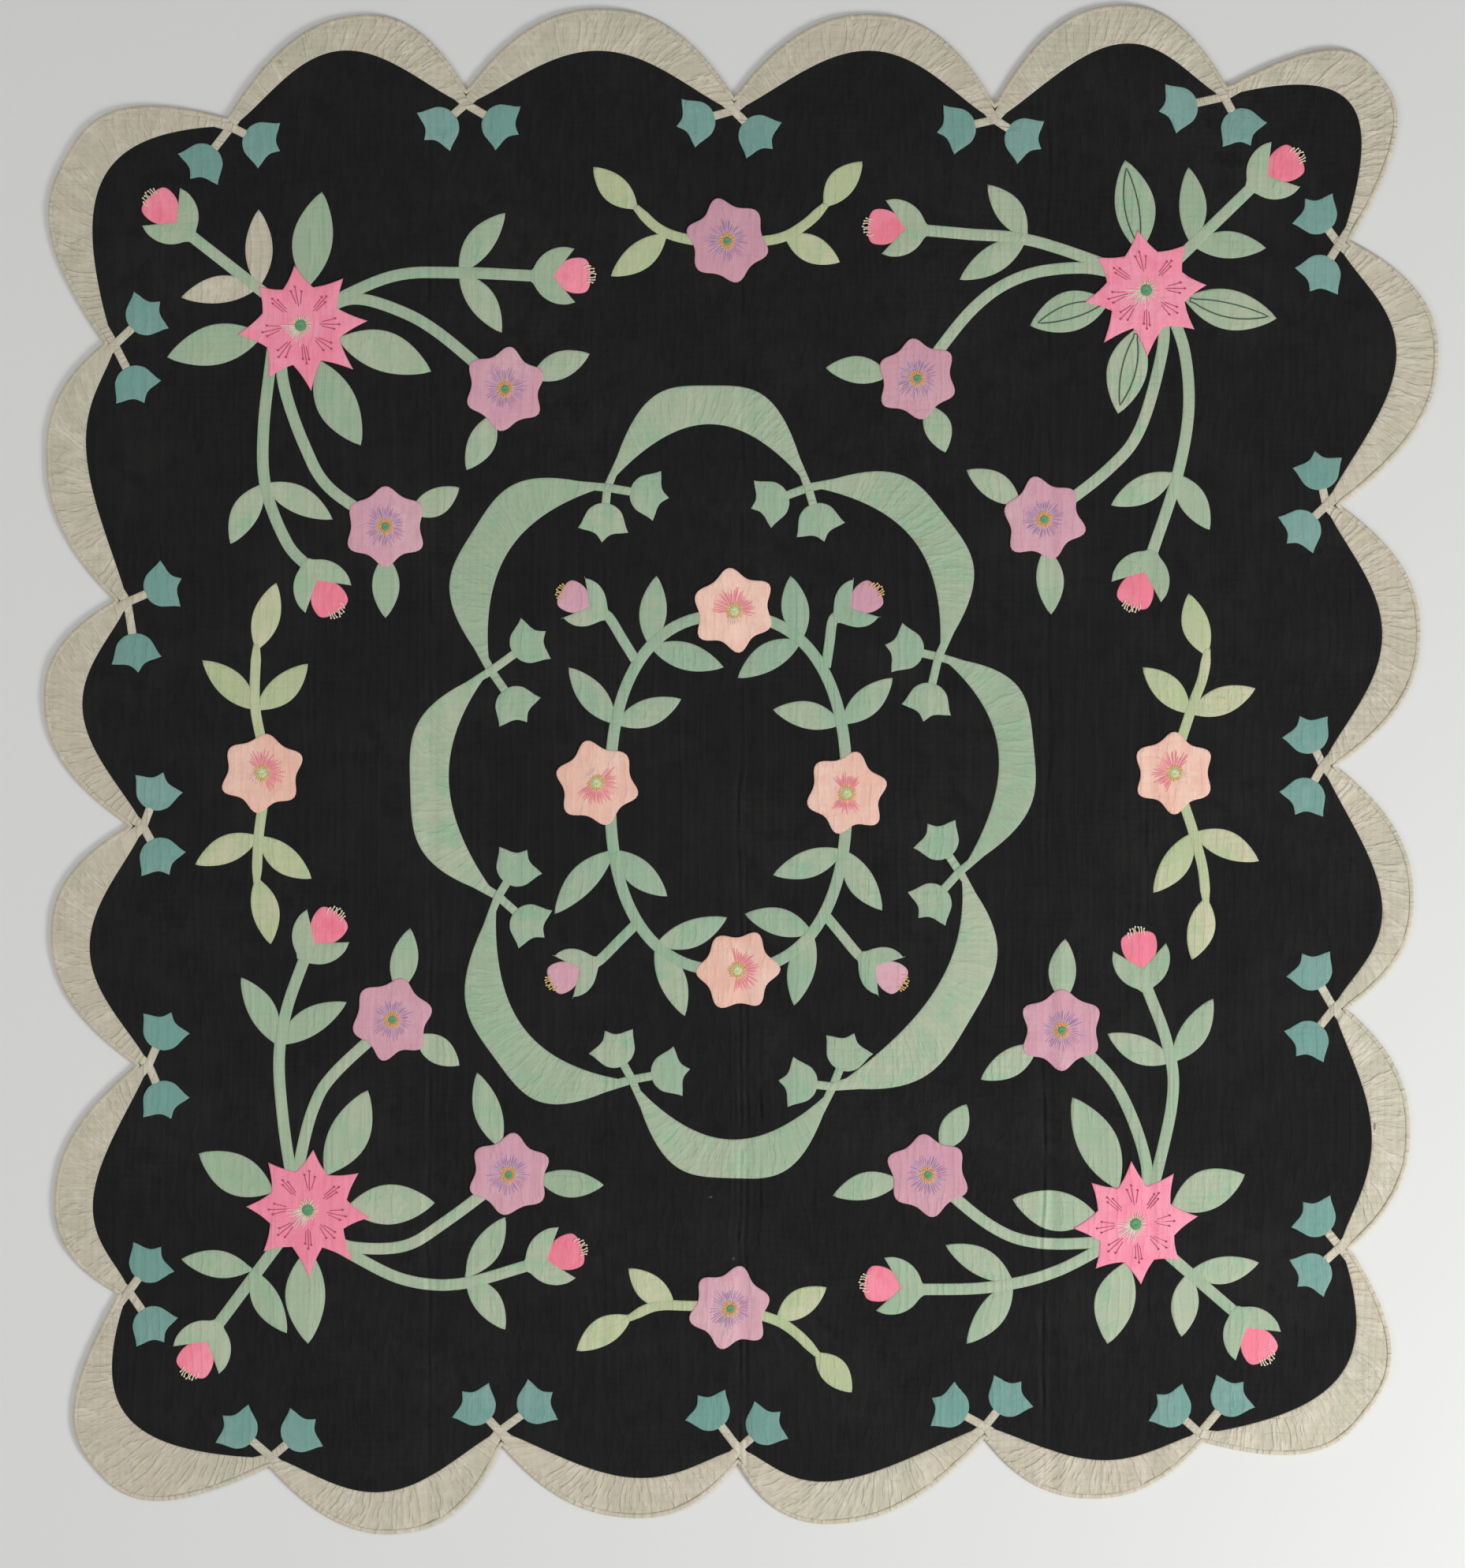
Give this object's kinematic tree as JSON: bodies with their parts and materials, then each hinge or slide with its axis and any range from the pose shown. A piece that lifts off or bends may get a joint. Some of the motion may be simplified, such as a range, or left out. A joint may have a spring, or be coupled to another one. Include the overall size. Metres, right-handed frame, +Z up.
{
  "type": "applique quilt",
  "caption": "Flat cotton bed quilt with a scalloped cream border, and an applique wreath in a ring of swags among flowers, stars and leaf sprays on black quilted cloth",
  "frame": {"origin": "the middle of the quilt's outline, on its underside", "axes": "+Y runs up the quilt to its top edge, +X to its right edge as it is looked at, and +Z up out of its face"},
  "size_m": [1.9792, 2.1708, 0.0069],
  "materials": {
    "ground": "matt cotton",
    "binding": "matt cotton",
    "border": "matt cotton",
    "swag": "matt cotton",
    "wreath": "matt cotton",
    "spray": "matt cotton",
    "side_spray": "matt cotton",
    "star": "matt cotton",
    "lavender_flower": "matt cotton",
    "peach_flower": "matt cotton"
  },
  "bodies": {
    "root": {"quilt_ground": "ground", "binding": "binding", "border_crescent_01": "border", "border_crescent_02": "border", "border_crescent_03": "border", "border_crescent_04": "border", "border_crescent_05": "border", "border_crescent_06": "border", "border_crescent_07": "border", "border_crescent_08": "border", "border_crescent_09": "border", "border_crescent_10": "border", "border_crescent_11": "border", "border_crescent_12": "border", "border_crescent_13": "border", "border_crescent_14": "border", "border_crescent_15": "border", "border_crescent_16": "border", "border_crescent_17": "border", "border_crescent_18": "border", "border_crescent_19": "border", "border_crescent_20": "border", "swag_top": "swag", "swag_top_right": "swag", "swag_right": "swag", "swag_bottom_right": "swag", "swag_bottom": "swag", "swag_bottom_left": "swag", "swag_left": "swag", "swag_top_left": "swag", "wreath": "wreath", "spray_top_left": "spray", "spray_top_right": "spray", "spray_bottom_left": "spray", "spray_bottom_right": "spray", "side_spray_top": "side_spray", "side_spray_bottom": "side_spray", "side_spray_left": "side_spray", "side_spray_right": "side_spray", "star_top_left": "star", "star_top_right": "star", "star_bottom_left": "star", "star_bottom_right": "star", "flower_01": "lavender_flower", "flower_02": "lavender_flower", "flower_03": "lavender_flower", "flower_04": "lavender_flower", "flower_05": "lavender_flower", "flower_06": "lavender_flower", "flower_07": "lavender_flower", "flower_08": "lavender_flower", "flower_09": "lavender_flower", "flower_10": "lavender_flower", "flower_11": "peach_flower", "flower_12": "peach_flower", "flower_13": "peach_flower", "flower_14": "peach_flower", "flower_15": "peach_flower", "flower_16": "peach_flower"}
  },
  "joints": []
}
